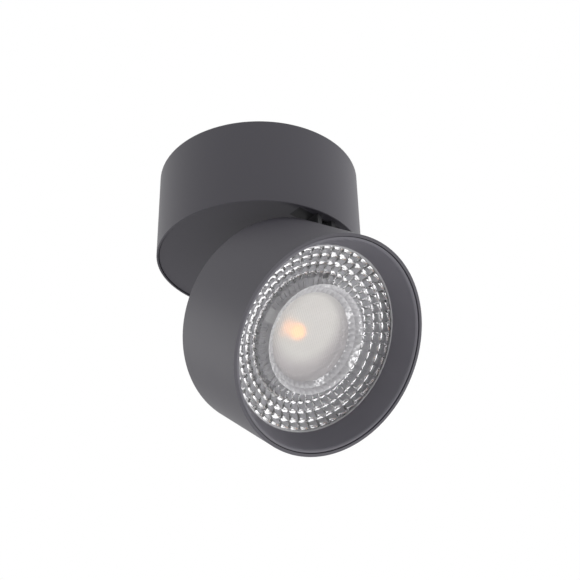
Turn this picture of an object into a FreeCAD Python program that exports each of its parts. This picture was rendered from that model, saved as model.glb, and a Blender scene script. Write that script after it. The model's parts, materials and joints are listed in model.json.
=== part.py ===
"""Surface mounted ceiling spotlight with a folding head.

A short round base is fixed to the ceiling. A turntable in its underside turns about the
vertical axis and carries a hinge near its rim. A round head of nearly the same diameter
folds down from that hinge, so it can lie flat under the base or lean far out.

Lengths are millimetres. +Z is up, and the origin is the centre of the ceiling face.
The base and turntable are drawn in place. The head's pieces are drawn about the head's
own axis, with z = 0 on its back face and the lamp opening at the lowest z, and are then
placed at the tilt of the photographed pose.
"""
import FreeCAD, Part
import math
import operator
import os
import Sketcher
from FreeCAD import Placement, Rotation, Vector

os.makedirs("parts", exist_ok=True)
doc = FreeCAD.newDocument("ceiling_spotlight")
sheet = doc.addObject("Spreadsheet::Sheet", "sheet")

DIMENSIONS = [
    # base, from the ceiling down
    ("base_diameter", 100.0), ("base_height", 46.0), ("base_wall", 2.0), ("edge_round", 0.6),
    ("edge_break", 0.25), ("plate_clearance", 0.5),
    ("plate_thickness", 1.5), ("ledge_width", 3.5), ("ledge_thickness", 1.5),
    ("ledge_drop", 2.5), ("hook_width", 10.0), ("hook_length", 7.0), ("hook_count", 3.0),
    ("hook_clearance", 0.8), ("notch_width", 13.0),
    ("slot_pitch", 60.0), ("slot_width", 4.5), ("slot_length", 10.0),
    ("entry_diameter", 14.0), ("grommet_bore", 9.0), ("grommet_flange", 19.0),
    ("grommet_recess", 0.3), ("lock_screw_diameter", 3.0), ("lock_screw_drop", 8.2),
    ("lock_screw_recess", 0.3), ("lock_screw_reach", 0.6), ("lock_screw_play", 0.1),
    # turntable
    ("lip_wall", 1.0), ("disc_recess", 0.6), ("disc_thickness", 4.4), ("disc_clearance", 0.2),
    ("glide_thickness", 0.5), ("glide_inner", 66.0), ("glide_outer", 86.0),
    ("floor_thickness", 3.0),
    ("pivot_diameter", 12.0), ("pivot_bore", 8.0), ("pivot_fit", 0.08), ("pivot_flange", 17.0),
    ("pivot_flange_thickness", 1.4), ("wave_thickness", 0.8), ("wave_margin", 1.0),
    ("wave_play", 0.2), ("nut_flats", 18.0), ("nut_thickness", 5.0), ("thread_end", 1.2),
    ("bush_thickness", 1.0), ("bush_wall", 0.8),
    ("channel_width", 5.0), ("channel_depth", 2.8),
    ("stop_radius", 21.5), ("stop_pin_diameter", 2.0), ("stop_clearance", 0.3),
    ("stop_land", 1.5), ("stop_depth", 1.9),
    # hinge
    ("head_step", 1.0), ("hinge_inset", 5.7), ("hinge_depth", 6.5), ("closed_gap", 2.4),
    ("tilt", 52.8), ("pin_diameter", 3.0), ("pin_fit", 0.05), ("ear_gap", 6.4),
    ("ear_thickness", 2.5), ("ear_radius", 3.7), ("washer_thickness", 0.5),
    ("lug_thickness", 3.5), ("lug_radius", 2.4), ("pin_head_diameter", 4.0),
    ("pin_head_thickness", 0.8), ("bracket_length", 30.0), ("bracket_width", 7.0),
    ("bracket_thickness", 2.0), ("bracket_shift", 1.6), ("bracket_screw_pitch", 23.0),
    ("screw_diameter", 3.0), ("screw_head_diameter", 5.6), ("screw_head_height", 1.9),
    ("slot_clearance", 0.5), ("web_length", 7.5), ("web_gap", 4.9), ("block_screw_pitch", 13.0),
    ("lead_hole", 5.0),
    # head
    ("head_length", 44.4), ("head_wall", 2.0), ("back_thickness", 3.0), ("rim_wall", 1.4),
    ("tap_end", 1.0),
    ("seat_depth", 14.0), ("post_radius", 38.0), ("post_diameter", 7.0), ("post_count", 3.0),
    ("sink_thickness", 4.0), ("sink_clearance", 0.2), ("fin_count", 24.0),
    ("fin_thickness", 1.4), ("fin_inner", 30.0), ("fin_margin", 2.4), ("fin_gap", 0.6),
    ("fin_root", 0.1),
    ("pad_side", 22.0), ("pad_thickness", 0.3), ("board_side", 20.0), ("board_thickness", 1.0),
    ("pad_play", 0.1), ("emitter_diameter", 10.0), ("emitter_thickness", 0.4),
    ("emitter_drop", 5.3),
    ("holder_diameter", 53.0), ("holder_mouth", 36.0), ("holder_bore", 18.0),
    ("tooth_count", 60.0), ("tooth_depth", 0.6), ("tooth_width", 1.2), ("tooth_length", 3.0),
    ("holder_screw_pitch", 43.0), ("small_screw_diameter", 2.2), ("key_length", 4.9),
    ("key_width", 6.4), ("key_thickness", 0.5), ("key_radius", 23.6), ("key_offset", 2.0),
    # optics
    ("lens_depth", 12.2), ("flange_diameter", 88.0), ("flange_thickness", 1.8),
    ("flange_width", 2.8), ("cone_bottom_diameter", 52.6), ("row_height", 2.225),
    ("row_count", 4.0), ("facet_count", 48.0), ("cone_bow_out", 0.3), ("cone_bow_back", 0.5),
    ("well_top_diameter", 49.6), ("well_diameter", 40.4), ("well_depth", 4.5),
    ("cavity_diameter", 40.0), ("cavity_top_diameter", 38.0), ("window_thickness", 2.0),
    ("bulge_rise", 3.9),
    ("baffle_gap", 0.3), ("flange_overlap", 2.0), ("baffle_rim", 0.8),
    ("baffle_lip", 0.6), ("baffle_nose", 0.5), ("flange_play", 0.2),
    ("ring_thickness", 2.0), ("ring_play", 0.3), ("ring_inset", 0.4), ("ring_screw_radius", 45.5),
    ("ring_screw_diameter", 1.8),
    # driver and terminals
    ("driver_length", 52.0), ("driver_width", 25.0), ("driver_height", 22.5),
    ("driver_offset", 12.5), ("driver_wall", 1.5), ("ear_length", 7.0), ("ear_height", 2.5),
    ("board_lift", 4.0), ("circuit_thickness", 1.6), ("circuit_play", 0.5),
    ("core_length", 14.0), ("core_width", 13.0), ("core_thickness", 2.0),
    ("winding_diameter", 11.2), ("winding_height", 8.0),
    ("input_can_diameter", 8.0), ("input_can_height", 13.0), ("input_can_offset", -15.0),
    ("output_can_diameter", 10.0), ("output_can_height", 12.0), ("output_can_offset", 16.0),
    ("terminal_length", 30.0), ("terminal_width", 14.0), ("terminal_height", 15.0),
    ("terminal_offset", 18.0), ("terminal_pitch", 9.0), ("terminal_bore", 4.5),
    ("terminal_screw_drop", 2.0), ("earth_offset", 34.0), ("earth_washer_diameter", 7.6),
    ("earth_washer_thickness", 1.0),
]


class Size:
    """A measure that keeps both its value and the sheet formula that drives it."""

    def __init__(self, value, text):
        self.value = float(value)
        self.text = text

    def joined(self, other, symbol, action):
        other = as_size(other)
        return Size(action(self.value, other.value), f"({self.text} {symbol} {other.text})")

    def __add__(self, other):
        return self.joined(other, "+", operator.add)

    def __sub__(self, other):
        return self.joined(other, "-", operator.sub)

    def __mul__(self, other):
        return self.joined(other, "*", operator.mul)

    def __truediv__(self, other):
        return self.joined(other, "/", operator.truediv)

    def __neg__(self):
        return Size(-self.value, f"(0 - {self.text})")


def as_size(number):
    return number if isinstance(number, Size) else Size(number, repr(float(number)))


class Sizes:
    """One attribute for each driving dimension in the sheet."""


size = Sizes()
for row, (alias, number) in enumerate(DIMENSIONS, start=1):
    sheet.set(f"A{row}", alias)
    sheet.set(f"B{row}", str(number))
    sheet.setAlias(f"B{row}", alias)
    setattr(size, alias, Size(number, f"sheet.{alias}"))
doc.recompute()

# ---- levels and radii that several pieces share -------------------------------------------
ZERO = as_size(0)
CUT_OVERRUN = as_size(1)
FULL_TURN = 360.0
SIDES = (-1, 1)
COUNTERSINK_SLOPE = 45.0
HEX_SIDES = 6

base_radius = size.base_diameter / 2
cavity_radius = base_radius - size.base_wall
plate_radius = cavity_radius - size.ledge_width - size.plate_clearance
ledge_top = -size.ledge_drop
ledge_bottom = ledge_top - size.ledge_thickness
disc_radius = base_radius - size.lip_wall - size.disc_clearance
disc_bottom = size.disc_recess - size.base_height
disc_top = disc_bottom + size.disc_thickness
floor_bottom = disc_top + size.glide_thickness
floor_top = floor_bottom + size.floor_thickness
nut_bottom = floor_top + size.wave_thickness
tube_top = nut_bottom + size.nut_thickness + size.thread_end

head_radius = base_radius - size.head_step
hinge_y = size.hinge_inset - head_radius
hinge_z = -size.hinge_depth
hinge_level = -size.base_height - size.closed_gap - size.hinge_depth
inner_radius = head_radius - size.head_wall
front_z = -size.head_length
lens_front = front_z + size.lens_depth
lens_height = size.flange_thickness + size.row_height * size.row_count
lens_back = lens_front + lens_height
cone_top_radius = size.flange_diameter / 2 - size.flange_width
cone_bottom_radius = size.cone_bottom_diameter / 2
board_front = lens_back + size.emitter_drop + size.emitter_thickness
sink_front = board_front + size.board_thickness + size.pad_thickness
key_sides = (
    -size.key_radius - size.key_length / 2, -size.key_radius + size.key_length / 2,
    -size.key_offset - size.key_width / 2, -size.key_offset + size.key_width / 2,
)
sink_back = sink_front + size.sink_thickness
lug_inner = size.ear_gap / 2 + size.ear_thickness + size.washer_thickness
lug_outer = lug_inner + size.lug_thickness
web_front = hinge_z - size.lug_radius
web_start = hinge_y + size.web_gap

REST = Placement(
    Vector(0, hinge_y.value, hinge_level.value), Rotation(Vector(1, 0, 0), -size.tilt.value)
).multiply(Placement(Vector(0, -hinge_y.value, -hinge_z.value), Rotation()))


# ---- small helpers for drawing ------------------------------------------------------------
def tie(obj, prop, measure):
    """Drive one property of an object from the sheet."""
    obj.setExpression(prop, as_size(measure).text)


def new_body(label):
    body = doc.addObject("PartDesign::Body", label)
    body.Label = label
    return body


def origin_part(body, role):
    return next(item for item in body.Origin.OriginFeatures if item.Role == role)


def new_sketch(body, plane, offset=ZERO):
    """An empty sketch on one of the body's own planes, moved along that plane's normal."""
    number = len(doc.Objects)
    sketch = body.newObject("Sketcher::SketchObject", f"{body.Label}_sketch_{number}")
    sketch.AttachmentSupport = [(origin_part(body, f"{plane}_Plane"), "")]
    sketch.MapMode = "FlatFace"
    if offset.value:
        tie(sketch, ".AttachmentOffset.Base.z", offset)
    return sketch


def hold(sketch, kind, measure, *places):
    """Fix a point or a size of the sketch to a measure, or to an axis where it is zero."""
    axis = {"DistanceX": -2, "DistanceY": -1}
    if kind in axis and measure.value == 0:
        sketch.addConstraint(Sketcher.Constraint("PointOnObject", *places, axis[kind]))
        return
    before = (-1, 1) if kind in axis else ()
    index = sketch.addConstraint(Sketcher.Constraint(kind, *before, *places, measure.value))
    tie(sketch, f"Constraints[{index}]", measure)


def draw_outline(sketch, corners):
    """A closed outline of straight edges, with every corner held by two measures."""
    corners = [(as_size(x), as_size(y)) for x, y in corners]
    points = [Vector(x.value, y.value, 0) for x, y in corners]
    first = sketch.GeometryCount
    for start, end in zip(points, points[1:] + points[:1]):
        sketch.addGeometry(Part.LineSegment(start, end))
    count = len(points)
    for index, (x, y) in enumerate(corners):
        edge = first + index
        previous = first + (index - 1) % count
        sketch.addConstraint(Sketcher.Constraint("Coincident", previous, 2, edge, 1))
        hold(sketch, "DistanceX", x, edge, 1)
        hold(sketch, "DistanceY", y, edge, 1)


def draw_rectangle(sketch, left, right, bottom, top):
    draw_outline(sketch, [(left, bottom), (right, bottom), (right, top), (left, top)])


def draw_circle(sketch, x, y, radius):
    x, y, radius = as_size(x), as_size(y), as_size(radius)
    circle = Part.Circle(Vector(x.value, y.value, 0), Vector(0, 0, 1), radius.value)
    edge = sketch.addGeometry(circle)
    hold(sketch, "DistanceX", x, edge, 3)
    hold(sketch, "DistanceY", y, edge, 3)
    hold(sketch, "Radius", radius, edge)


def draw_slot(sketch, x, y, length, width):
    """A round ended slot along the sketch's first axis."""
    radius = width / 2
    half = length / 2 - radius
    left, right = x - half, x + half
    up = Vector(0, 0, 1)
    quarter = math.pi / 2
    right_arc = sketch.addGeometry(Part.ArcOfCircle(
        Part.Circle(Vector(right.value, y.value, 0), up, radius.value), -quarter, quarter))
    left_arc = sketch.addGeometry(Part.ArcOfCircle(
        Part.Circle(Vector(left.value, y.value, 0), up, radius.value), quarter, 3 * quarter))
    top, bottom = y + radius, y - radius
    upper = sketch.addGeometry(Part.LineSegment(
        Vector(right.value, top.value, 0), Vector(left.value, top.value, 0)))
    lower = sketch.addGeometry(Part.LineSegment(
        Vector(left.value, bottom.value, 0), Vector(right.value, bottom.value, 0)))
    for a, a_end, b, b_end in (
        (right_arc, 2, upper, 1), (upper, 2, left_arc, 1),
        (left_arc, 2, lower, 1), (lower, 2, right_arc, 1),
    ):
        sketch.addConstraint(Sketcher.Constraint("Tangent", a, a_end, b, b_end))
    hold(sketch, "DistanceX", right, right_arc, 3)
    hold(sketch, "DistanceY", y, right_arc, 3)
    hold(sketch, "DistanceX", left, left_arc, 3)
    hold(sketch, "Radius", radius, right_arc)


def turn(body, corners):
    """Revolve an outline of (radius, z) corners about the body's z axis."""
    sketch = new_sketch(body, "XZ")
    draw_outline(sketch, corners)
    feature = body.newObject("PartDesign::Revolution", f"{body.Label}_turned")
    feature.Profile = sketch
    feature.ReferenceAxis = (sketch, ["V_Axis"])
    feature.Angle = FULL_TURN
    return feature


def turn_away(body, corners):
    """Cut a revolved outline of (radius, z) corners out of the body."""
    sketch = new_sketch(body, "XZ")
    draw_outline(sketch, corners)
    feature = body.newObject("PartDesign::Groove", f"{body.Label}_groove_{len(doc.Objects)}")
    feature.Profile = sketch
    feature.ReferenceAxis = (sketch, ["V_Axis"])
    feature.Angle = FULL_TURN
    return feature


def pad(body, sketch, length, symmetric=False, down=False):
    feature = body.newObject("PartDesign::Pad", f"{body.Label}_pad_{len(doc.Objects)}")
    feature.Profile = sketch
    feature.SideType = "Symmetric" if symmetric else "One side"
    feature.Reversed = down
    tie(feature, "Length", length)
    return feature


def pocket(body, sketch, depth, symmetric=False, up=False):
    """Cut a sketch downwards from its plane, or upwards, or to both sides of it."""
    feature = body.newObject("PartDesign::Pocket", f"{body.Label}_pocket_{len(doc.Objects)}")
    feature.Profile = sketch
    feature.SideType = "Symmetric" if symmetric else "One side"
    feature.Reversed = up
    tie(feature, "Length", depth)
    return feature


def repeat_round(body, feature, count):
    """Repeat a feature evenly about the body's z axis."""
    pattern = body.newObject("PartDesign::PolarPattern", f"{body.Label}_round_{len(doc.Objects)}")
    pattern.Originals = [feature]
    pattern.Axis = (origin_part(body, "Z_Axis"), [""])
    pattern.Angle = FULL_TURN
    tie(pattern, "Occurrences", count)
    body.Tip = pattern
    return pattern


def circle_edges(shape, radius, level):
    """The names of the full circles of one radius at one height."""
    names = []
    for index, edge in enumerate(shape.Edges, start=1):
        curve = edge.Curve
        if not isinstance(curve, Part.Circle):
            continue
        same_size = abs(curve.Radius - radius.value) < 0.01
        same_height = abs(curve.Center.z - level.value) < 0.01
        if same_size and same_height:
            names.append(f"Edge{index}")
    return names


def round_edge(body, feature, places, radius):
    """Round the circles named by (radius, height) pairs."""
    doc.recompute()
    edges = [name for place in places for name in circle_edges(feature.Shape, *place)]
    fillet = body.newObject("PartDesign::Fillet", f"{body.Label}_round_edge")
    fillet.Base = (feature, edges)
    tie(fillet, "Radius", radius)
    return fillet


def ring(label, outer, inner, bottom, top):
    body = new_body(label)
    turn(body, [(inner, bottom), (outer, bottom), (outer, top), (inner, top)])
    return body


def block(label, left, right, front, back, bottom, top):
    body = new_body(label)
    sketch = new_sketch(body, "XY", bottom)
    draw_rectangle(sketch, left, right, front, back)
    pad(body, sketch, top - bottom)
    return body


def grouped(label, pieces):
    """Several separate solids of one kind under one name."""
    feature = doc.addObject("Part::Feature", label)
    feature.Label = label
    feature.Shape = Part.makeCompound(pieces)
    return feature


def screw(radius, head_radius, head_height, head_level, tip_level):
    """A pan head screw whose head sits below head_level and whose shank points up."""
    shank = Part.makeCylinder(radius, tip_level - head_level, Vector(0, 0, head_level))
    head = Part.makeCylinder(head_radius, head_height, Vector(0, 0, head_level - head_height))
    return shank.fuse(head).removeSplitter()


def countersunk_screw(radius, head_radius, head_level, tip_level):
    """A flat head screw whose head is flush with head_level and whose shank points down."""
    head_height = head_radius - radius
    head = Part.makeCone(radius, head_radius, head_height, Vector(0, 0, head_level - head_height))
    shank = Part.makeCylinder(radius, head_level - tip_level, Vector(0, 0, tip_level))
    return shank.fuse(head).removeSplitter()


def moved(shape, x, y):
    copy = shape.copy()
    copy.translate(Vector(x, y, 0))
    return copy


def around(radius, count, start):
    """The x and y of points spaced evenly on a circle, from a start angle in degrees."""
    step = FULL_TURN / count
    angles = [math.radians(start + step * index) for index in range(int(count))]
    return [(radius * math.cos(angle), radius * math.sin(angle)) for angle in angles]


# ---- base ---------------------------------------------------------------------------------
POST_START = 90.0


def mounting_plate():
    body = new_body("mounting_plate")
    disc = new_sketch(body, "XY")
    draw_circle(disc, 0, 0, plate_radius)
    pad(body, disc, size.plate_thickness, down=True)
    inner = plate_radius - size.plate_thickness
    foot_bottom = ledge_bottom - size.plate_thickness
    tip = cavity_radius - size.hook_clearance
    tip_inner = tip - size.plate_thickness
    hook = new_sketch(body, "XZ")
    draw_outline(hook, [
        (inner, 0), (plate_radius, 0), (plate_radius, ledge_bottom), (tip, ledge_bottom),
        (tip, ledge_bottom - size.hook_length), (tip_inner, ledge_bottom - size.hook_length),
        (tip_inner, foot_bottom), (inner, foot_bottom),
    ])
    repeat_round(body, pad(body, hook, size.hook_width, symmetric=True), size.hook_count)
    holes = new_sketch(body, "XY")
    draw_circle(holes, 0, 0, size.entry_diameter / 2)
    for side in SIDES:
        draw_slot(holes, size.slot_pitch / 2 * side, ZERO, size.slot_length, size.slot_width)
    pocket(body, holes, size.plate_thickness * 2, symmetric=True)
    lock = new_sketch(body, "YZ", tip_inner - CUT_OVERRUN)
    draw_circle(lock, 0, -size.lock_screw_drop, size.lock_screw_diameter / 2)
    pocket(body, lock, size.plate_thickness + CUT_OVERRUN * 2, up=True)
    return body


def cable_grommet():
    body = new_body("cable_grommet")
    bore = size.grommet_bore / 2
    sleeve = size.entry_diameter / 2
    flange = size.grommet_flange / 2
    top = -size.grommet_recess
    turn(body, [
        (bore, top), (sleeve, top), (sleeve, -size.plate_thickness),
        (flange, -size.plate_thickness), (flange, -size.plate_thickness * 2),
        (bore, -size.plate_thickness * 2),
    ])
    return body


def base_housing():
    body = new_body("base_housing")
    ledge_radius = cavity_radius - size.ledge_width
    lip_radius = base_radius - size.lip_wall
    bore = size.pivot_diameter / 2 + size.pivot_fit
    edge = size.edge_break
    turn(body, [
        (base_radius - edge, -size.base_height), (base_radius, edge - size.base_height),
        (base_radius, -edge), (base_radius - edge, 0), (cavity_radius, 0),
        (cavity_radius, ledge_top), (ledge_radius, ledge_top), (ledge_radius, ledge_bottom),
        (cavity_radius, ledge_bottom), (cavity_radius, floor_top), (bore, floor_top),
        (bore, floor_bottom), (lip_radius, floor_bottom), (lip_radius, -size.base_height),
    ])
    notch = new_sketch(body, "XY")
    draw_rectangle(notch, -size.notch_width / 2, size.notch_width / 2,
                   ledge_radius - CUT_OVERRUN * 3, cavity_radius)
    notch_cut = pocket(body, notch, -ledge_bottom)
    repeat_round(body, notch_cut, size.hook_count)
    half_track = size.stop_pin_diameter / 2 + size.stop_clearance
    inner = size.stop_radius - half_track
    outer = size.stop_radius + half_track
    track_top = floor_bottom + size.stop_depth
    turn_away(body, [(inner, floor_bottom), (outer, floor_bottom),
                     (outer, track_top), (inner, track_top)])
    land = new_sketch(body, "XY", floor_bottom)
    draw_rectangle(land, -size.stop_land / 2, size.stop_land / 2,
                   -outer - CUT_OVERRUN / 2, -inner + CUT_OVERRUN / 2)
    pad(body, land, size.stop_depth + CUT_OVERRUN / 2)
    lock = new_sketch(body, "YZ", cavity_radius - CUT_OVERRUN)
    draw_circle(lock, 0, -size.lock_screw_drop, size.lock_screw_diameter / 2 + size.lock_screw_play)
    pocket(body, lock, size.base_wall + CUT_OVERRUN * 2, up=True)
    fixings = new_sketch(body, "XY", floor_bottom)
    for x, y in fixing_places():
        draw_circle(fixings, x, y, size.screw_diameter / 2)
    pocket(body, fixings, size.floor_thickness + CUT_OVERRUN, up=True)
    return body


def driver_screw_x():
    return size.driver_length / 2 + size.ear_length / 2


def driver_middle_y():
    return size.driver_offset + size.driver_width / 2


def terminal_middle_y():
    return -size.terminal_offset - size.terminal_width / 2


def fixing_places():
    """Where screws go down into the base's floor: driver, terminal block and earth."""
    return [
        (driver_screw_x(), driver_middle_y()), (-driver_screw_x(), driver_middle_y()),
        (size.terminal_pitch / 2, terminal_middle_y()), (-size.earth_offset, ZERO),
    ]


def lock_screw():
    body = new_body("lock_screw")
    socket_radius = size.lock_screw_diameter / 4
    hook_inner = cavity_radius - size.hook_clearance - size.plate_thickness
    tip = hook_inner - size.lock_screw_reach
    length = base_radius - size.lock_screw_recess - tip
    shank = new_sketch(body, "YZ", tip)
    draw_circle(shank, 0, -size.lock_screw_drop, size.lock_screw_diameter / 2)
    pad(body, shank, length)
    socket = new_sketch(body, "YZ", tip + length)
    draw_circle(socket, 0, -size.lock_screw_drop, socket_radius)
    pocket(body, socket, length / 3)
    return body


def glide_ring():
    return ring("glide_ring", size.glide_outer / 2, size.glide_inner / 2, disc_top, floor_bottom)


def driver_case():
    """An open plastic box with a screw ear at each end."""
    body = new_body("driver_case")
    half = size.driver_length / 2
    front = size.driver_offset
    back = size.driver_offset + size.driver_width
    wall = size.driver_wall
    middle = driver_middle_y()
    box = new_sketch(body, "XY", floor_top)
    draw_rectangle(box, -half, half, front, back)
    pad(body, box, size.driver_height)
    ears = new_sketch(body, "XY", floor_top)
    draw_rectangle(ears, -half - size.ear_length, half + size.ear_length,
                   middle - size.ear_length / 2, middle + size.ear_length / 2)
    pad(body, ears, size.ear_height)
    hollow = new_sketch(body, "XY", floor_top + size.driver_height)
    draw_rectangle(hollow, wall - half, half - wall, front + wall, back - wall)
    pocket(body, hollow, size.driver_height - wall)
    holes = new_sketch(body, "XY", floor_top)
    for side in SIDES:
        draw_circle(holes, driver_screw_x() * side, middle, size.screw_diameter / 2)
    pocket(body, holes, size.ear_height + CUT_OVERRUN, up=True)
    supports = new_sketch(body, "XY", floor_top + wall)
    for side in SIDES:
        draw_circle(supports, size.driver_length / 3 * side, middle, wall)
    pad(body, supports, size.board_lift - wall)
    return body


def driver_lid():
    bottom = floor_top + size.driver_height
    half = size.driver_length / 2
    return block("driver_lid", -half, half, size.driver_offset,
                 size.driver_offset + size.driver_width, bottom, bottom + size.driver_wall)


def driver_board():
    edge = size.driver_wall + size.circuit_play
    half = size.driver_length / 2 - edge
    bottom = floor_top + size.board_lift
    return block("driver_board", -half, half, size.driver_offset + edge,
                 size.driver_offset + size.driver_width - edge,
                 bottom, bottom + size.circuit_thickness)


def circuit_top():
    return floor_top + size.board_lift + size.circuit_thickness


def driver_transformer():
    """A wound core on its bobbin, which stands on the circuit board."""
    bottom = circuit_top()
    middle = driver_middle_y()
    half_length = size.core_length / 2
    half_width = size.core_width / 2
    upper = bottom + size.core_thickness + size.winding_height
    body = block("driver_transformer", -half_length, half_length, middle - half_width,
                 middle + half_width, bottom, bottom + size.core_thickness)
    winding = new_sketch(body, "XY", bottom)
    draw_circle(winding, 0, middle, size.winding_diameter / 2)
    pad(body, winding, upper + size.core_thickness / 2 - bottom)
    core = new_sketch(body, "XY", upper)
    draw_rectangle(core, -half_length, half_length, middle - half_width, middle + half_width)
    pad(body, core, size.core_thickness)
    return body


def driver_capacitors():
    cans = (
        (size.input_can_offset, size.input_can_diameter, size.input_can_height),
        (size.output_can_offset, size.output_can_diameter, size.output_can_height),
    )
    level = circuit_top().value
    middle = driver_middle_y().value
    return grouped("driver_capacitors", [
        Part.makeCylinder(diameter.value / 2, height.value, Vector(x.value, middle, level))
        for x, diameter, height in cans])


def driver_screws():
    top = (floor_top + size.ear_height).value
    one = Part.makeCylinder(size.screw_diameter.value / 2, top - floor_bottom.value,
                            Vector(0, 0, floor_bottom.value))
    head = Part.makeCylinder(size.screw_head_diameter.value / 2, size.screw_head_height.value,
                             Vector(0, 0, top))
    one = one.fuse(head).removeSplitter()
    x = driver_screw_x().value
    y = driver_middle_y().value
    return grouped("driver_screws", [moved(one, -x, y), moved(one, x, y)])


def terminal_block():
    """A three pole block: cable bores along y, clamping screws from above."""
    half = size.terminal_length / 2
    middle = terminal_middle_y()
    front = middle - size.terminal_width / 2
    back = middle + size.terminal_width / 2
    top = floor_top + size.terminal_height
    body = block("terminal_block", -half, half, front, back, floor_top, top)
    bores = new_sketch(body, "XZ", -middle)
    for pole in (-1, 0, 1):
        draw_circle(bores, size.terminal_pitch * pole, floor_top + size.terminal_height / 3,
                    size.terminal_bore / 2)
    pocket(body, bores, size.terminal_width + CUT_OVERRUN, symmetric=True)
    wells = new_sketch(body, "XY", top)
    for pole in (-1, 0, 1):
        draw_circle(wells, size.terminal_pitch * pole, middle, size.terminal_bore / 2)
    pocket(body, wells, size.terminal_height / 2)
    fixing = new_sketch(body, "XY", top)
    draw_circle(fixing, size.terminal_pitch / 2, middle, size.screw_diameter / 2)
    pocket(body, fixing, size.terminal_height + CUT_OVERRUN)
    return body


def terminal_screws():
    top = (floor_top + size.terminal_height).value
    depth = size.terminal_height.value / 2
    one = Part.makeCylinder(size.terminal_bore.value / 2, depth - size.terminal_screw_drop.value,
                            Vector(0, 0, top - depth))
    y = terminal_middle_y().value
    return grouped("terminal_screws", [
        moved(one, size.terminal_pitch.value * pole, y) for pole in (-1, 0, 1)])


def terminal_fixing_screw():
    body = new_body("terminal_fixing_screw")
    sketch = new_sketch(body, "XY", floor_bottom)
    draw_circle(sketch, size.terminal_pitch / 2, terminal_middle_y(), size.screw_diameter / 2)
    pad(body, sketch, size.floor_thickness + size.terminal_height / 3)
    return body


def earth_screw():
    """A screw with a wide washer, for the supply's earth wire."""
    body = new_body("earth_screw")
    washer_top = floor_top + size.earth_washer_thickness
    steps = (
        (floor_bottom, floor_top + CUT_OVERRUN / 2, size.screw_diameter),
        (floor_top, washer_top, size.earth_washer_diameter),
        (washer_top, washer_top + size.screw_head_height, size.screw_head_diameter),
    )
    for bottom, top, diameter in steps:
        sketch = new_sketch(body, "XY", bottom)
        draw_circle(sketch, -size.earth_offset, 0, diameter / 2)
        pad(body, sketch, top - bottom)
    return body


# ---- turntable ----------------------------------------------------------------------------
def turntable_disc():
    """The disc with its channel for the lead, and the recess that the hinge bracket sits in."""
    body = new_body("turntable")
    bore = size.pivot_diameter / 2
    flange = size.pivot_flange / 2
    flange_top = disc_bottom + size.pivot_flange_thickness
    edge = size.edge_break
    turn(body, [
        (flange, disc_bottom), (disc_radius - edge, disc_bottom),
        (disc_radius, disc_bottom + edge), (disc_radius, disc_top),
        (bore, disc_top), (bore, flange_top), (flange, flange_top),
    ])
    channel = new_sketch(body, "XY", disc_top)
    lead_y = hinge_y + size.bracket_shift
    draw_rectangle(channel, -size.channel_width / 2, size.channel_width / 2,
                   lead_y - size.channel_width / 2, ZERO)
    pocket(body, channel, size.channel_depth)
    recess = new_sketch(body, "XY", disc_bottom)
    draw_rectangle(recess, -size.bracket_length / 2, size.bracket_length / 2,
                   bracket_middle() - size.bracket_width / 2,
                   bracket_middle() + size.bracket_width / 2)
    pocket(body, recess, size.bracket_thickness, up=True)
    screws = new_sketch(body, "XY", disc_bottom)
    for side in SIDES:
        draw_circle(screws, size.bracket_screw_pitch / 2 * side, bracket_middle(),
                    size.screw_diameter / 2)
    draw_circle(screws, 0, size.stop_radius, size.stop_pin_diameter / 2)
    pocket(body, screws, size.disc_thickness + CUT_OVERRUN, up=True)
    return body


def bracket_middle():
    return hinge_y + size.bracket_shift


def turntable():
    """The disc with a cone sunk for each of the bracket's flat head screws."""
    disc = turntable_disc()
    doc.recompute()
    sink_radius = size.screw_head_diameter / 2
    sketch = new_sketch(disc, "XY", disc_top)
    for side in SIDES:
        draw_circle(sketch, size.bracket_screw_pitch / 2 * side, bracket_middle(), sink_radius)
    cone = pocket(disc, sketch, sink_radius - size.screw_diameter / 2)
    cone.TaperAngle = -COUNTERSINK_SLOPE
    return disc


def pivot_tube():
    body = new_body("pivot_tube")
    bore = size.pivot_bore / 2
    outer = size.pivot_diameter / 2
    flange = size.pivot_flange / 2
    flange_top = disc_bottom + size.pivot_flange_thickness
    turn(body, [
        (bore, disc_bottom), (flange, disc_bottom), (flange, flange_top), (outer, flange_top),
        (outer, tube_top), (bore, tube_top),
    ])
    notch = new_sketch(body, "XY", disc_top)
    draw_rectangle(notch, -size.channel_width / 2, size.channel_width / 2,
                   -outer - CUT_OVERRUN, ZERO)
    pocket(body, notch, size.channel_depth)
    return body


def pivot_bush():
    body = new_body("pivot_bush")
    outer = size.pivot_bore / 2
    bore = outer - size.bush_wall
    flange = size.pivot_diameter / 2
    turn(body, [
        (bore, tube_top - size.nut_thickness), (outer, tube_top - size.nut_thickness),
        (outer, tube_top), (flange, tube_top), (flange, tube_top + size.bush_thickness),
        (bore, tube_top + size.bush_thickness),
    ])
    return body


def wave_washer():
    return ring("wave_washer", size.nut_flats / 2 + size.wave_margin,
                size.pivot_diameter / 2 + size.wave_play, floor_top, nut_bottom)


def pivot_nut():
    """A hexagon nut on the hollow pivot's thread."""
    body = new_body("pivot_nut")
    sketch = new_sketch(body, "XY", nut_bottom)
    corner = size.nut_flats / 2 / math.cos(math.pi / HEX_SIDES)
    angles = [2 * math.pi / HEX_SIDES * side for side in range(HEX_SIDES)]
    draw_outline(sketch, [(corner * math.cos(angle), corner * math.sin(angle))
                          for angle in angles])
    draw_circle(sketch, 0, 0, size.pivot_diameter / 2)
    pad(body, sketch, size.nut_thickness)
    return body


def stop_pin():
    body = new_body("stop_pin")
    sketch = new_sketch(body, "XY", disc_top - size.disc_thickness / 2)
    draw_circle(sketch, 0, size.stop_radius, size.stop_pin_diameter / 2)
    pad(body, sketch, size.disc_thickness / 2 + size.glide_thickness + size.stop_depth
        - size.stop_clearance)
    return body


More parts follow.
